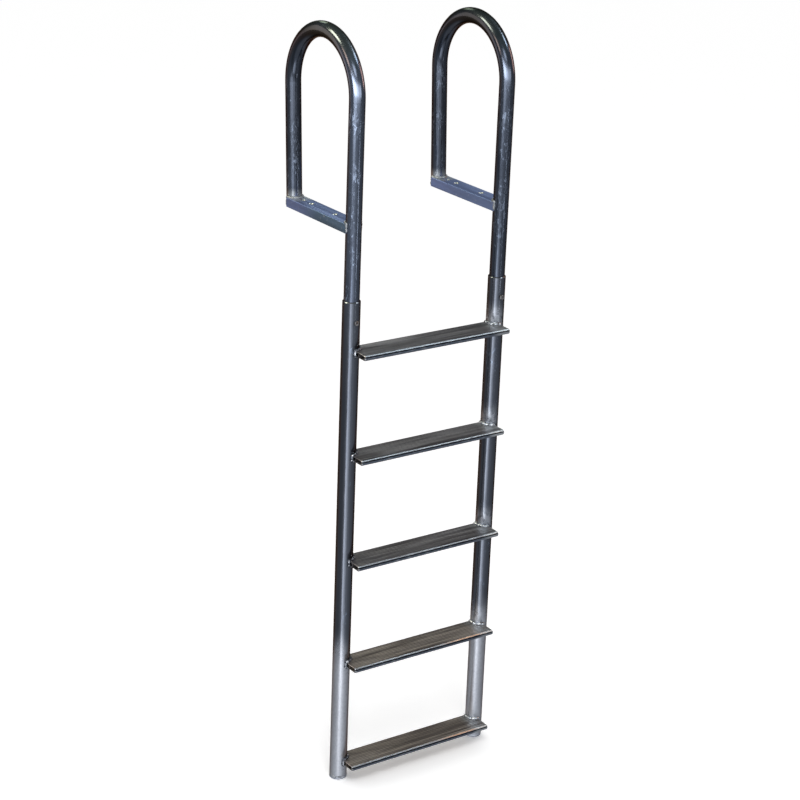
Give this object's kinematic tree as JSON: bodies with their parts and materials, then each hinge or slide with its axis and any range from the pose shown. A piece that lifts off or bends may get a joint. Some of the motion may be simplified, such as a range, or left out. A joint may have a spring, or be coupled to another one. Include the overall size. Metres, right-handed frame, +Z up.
{
  "type": "dock ladder",
  "caption": "Fixed dock ladder: two tube rails joined by ribbed treads hang below the deck, with handrail loops on bolted mounting channels above it.",
  "frame": {"origin": "underside of the left mounting channel, midway between its two bolt holes, so z = 0 is the dock's surface", "axes": "+Z up, along the rails; +X along the treads from the left rail to the right rail; +Y from the water towards the dock, so a climber faces +Y"},
  "size_m": [0.519, 0.3981, 2.0923],
  "materials": {
    "rail_tube": "weathered satin tube",
    "handrail_tube": "weathered satin tube",
    "channel": "mill finish, dull",
    "tread": "ribbed, dull oxidised",
    "weld": "bright weld bead",
    "hardware": "plated hexagon bolt and nut",
    "foot_cap": "moulded foot cap, grey"
  },
  "bodies": {
    "root": {"lower_rail_left": "rail_tube", "handrail_left": "handrail_tube", "mounting_channel_left": "channel", "long_leg_weld_left": "weld", "short_leg_weld_left": "weld", "cross_bolt_left": "hardware", "cross_bolt_nut_left": "hardware", "foot_cap_left": "foot_cap", "lower_rail_right": "rail_tube", "handrail_right": "handrail_tube", "mounting_channel_right": "channel", "long_leg_weld_right": "weld", "short_leg_weld_right": "weld", "cross_bolt_right": "hardware", "cross_bolt_nut_right": "hardware", "foot_cap_right": "foot_cap", "tread_1": "tread", "tread_1_weld_left": "weld", "tread_1_weld_right": "weld", "tread_2": "tread", "tread_2_weld_left": "weld", "tread_2_weld_right": "weld", "tread_3": "tread", "tread_3_weld_left": "weld", "tread_3_weld_right": "weld", "tread_4": "tread", "tread_4_weld_left": "weld", "tread_4_weld_right": "weld", "tread_5": "tread", "tread_5_weld_left": "weld", "tread_5_weld_right": "weld"}
  },
  "joints": []
}
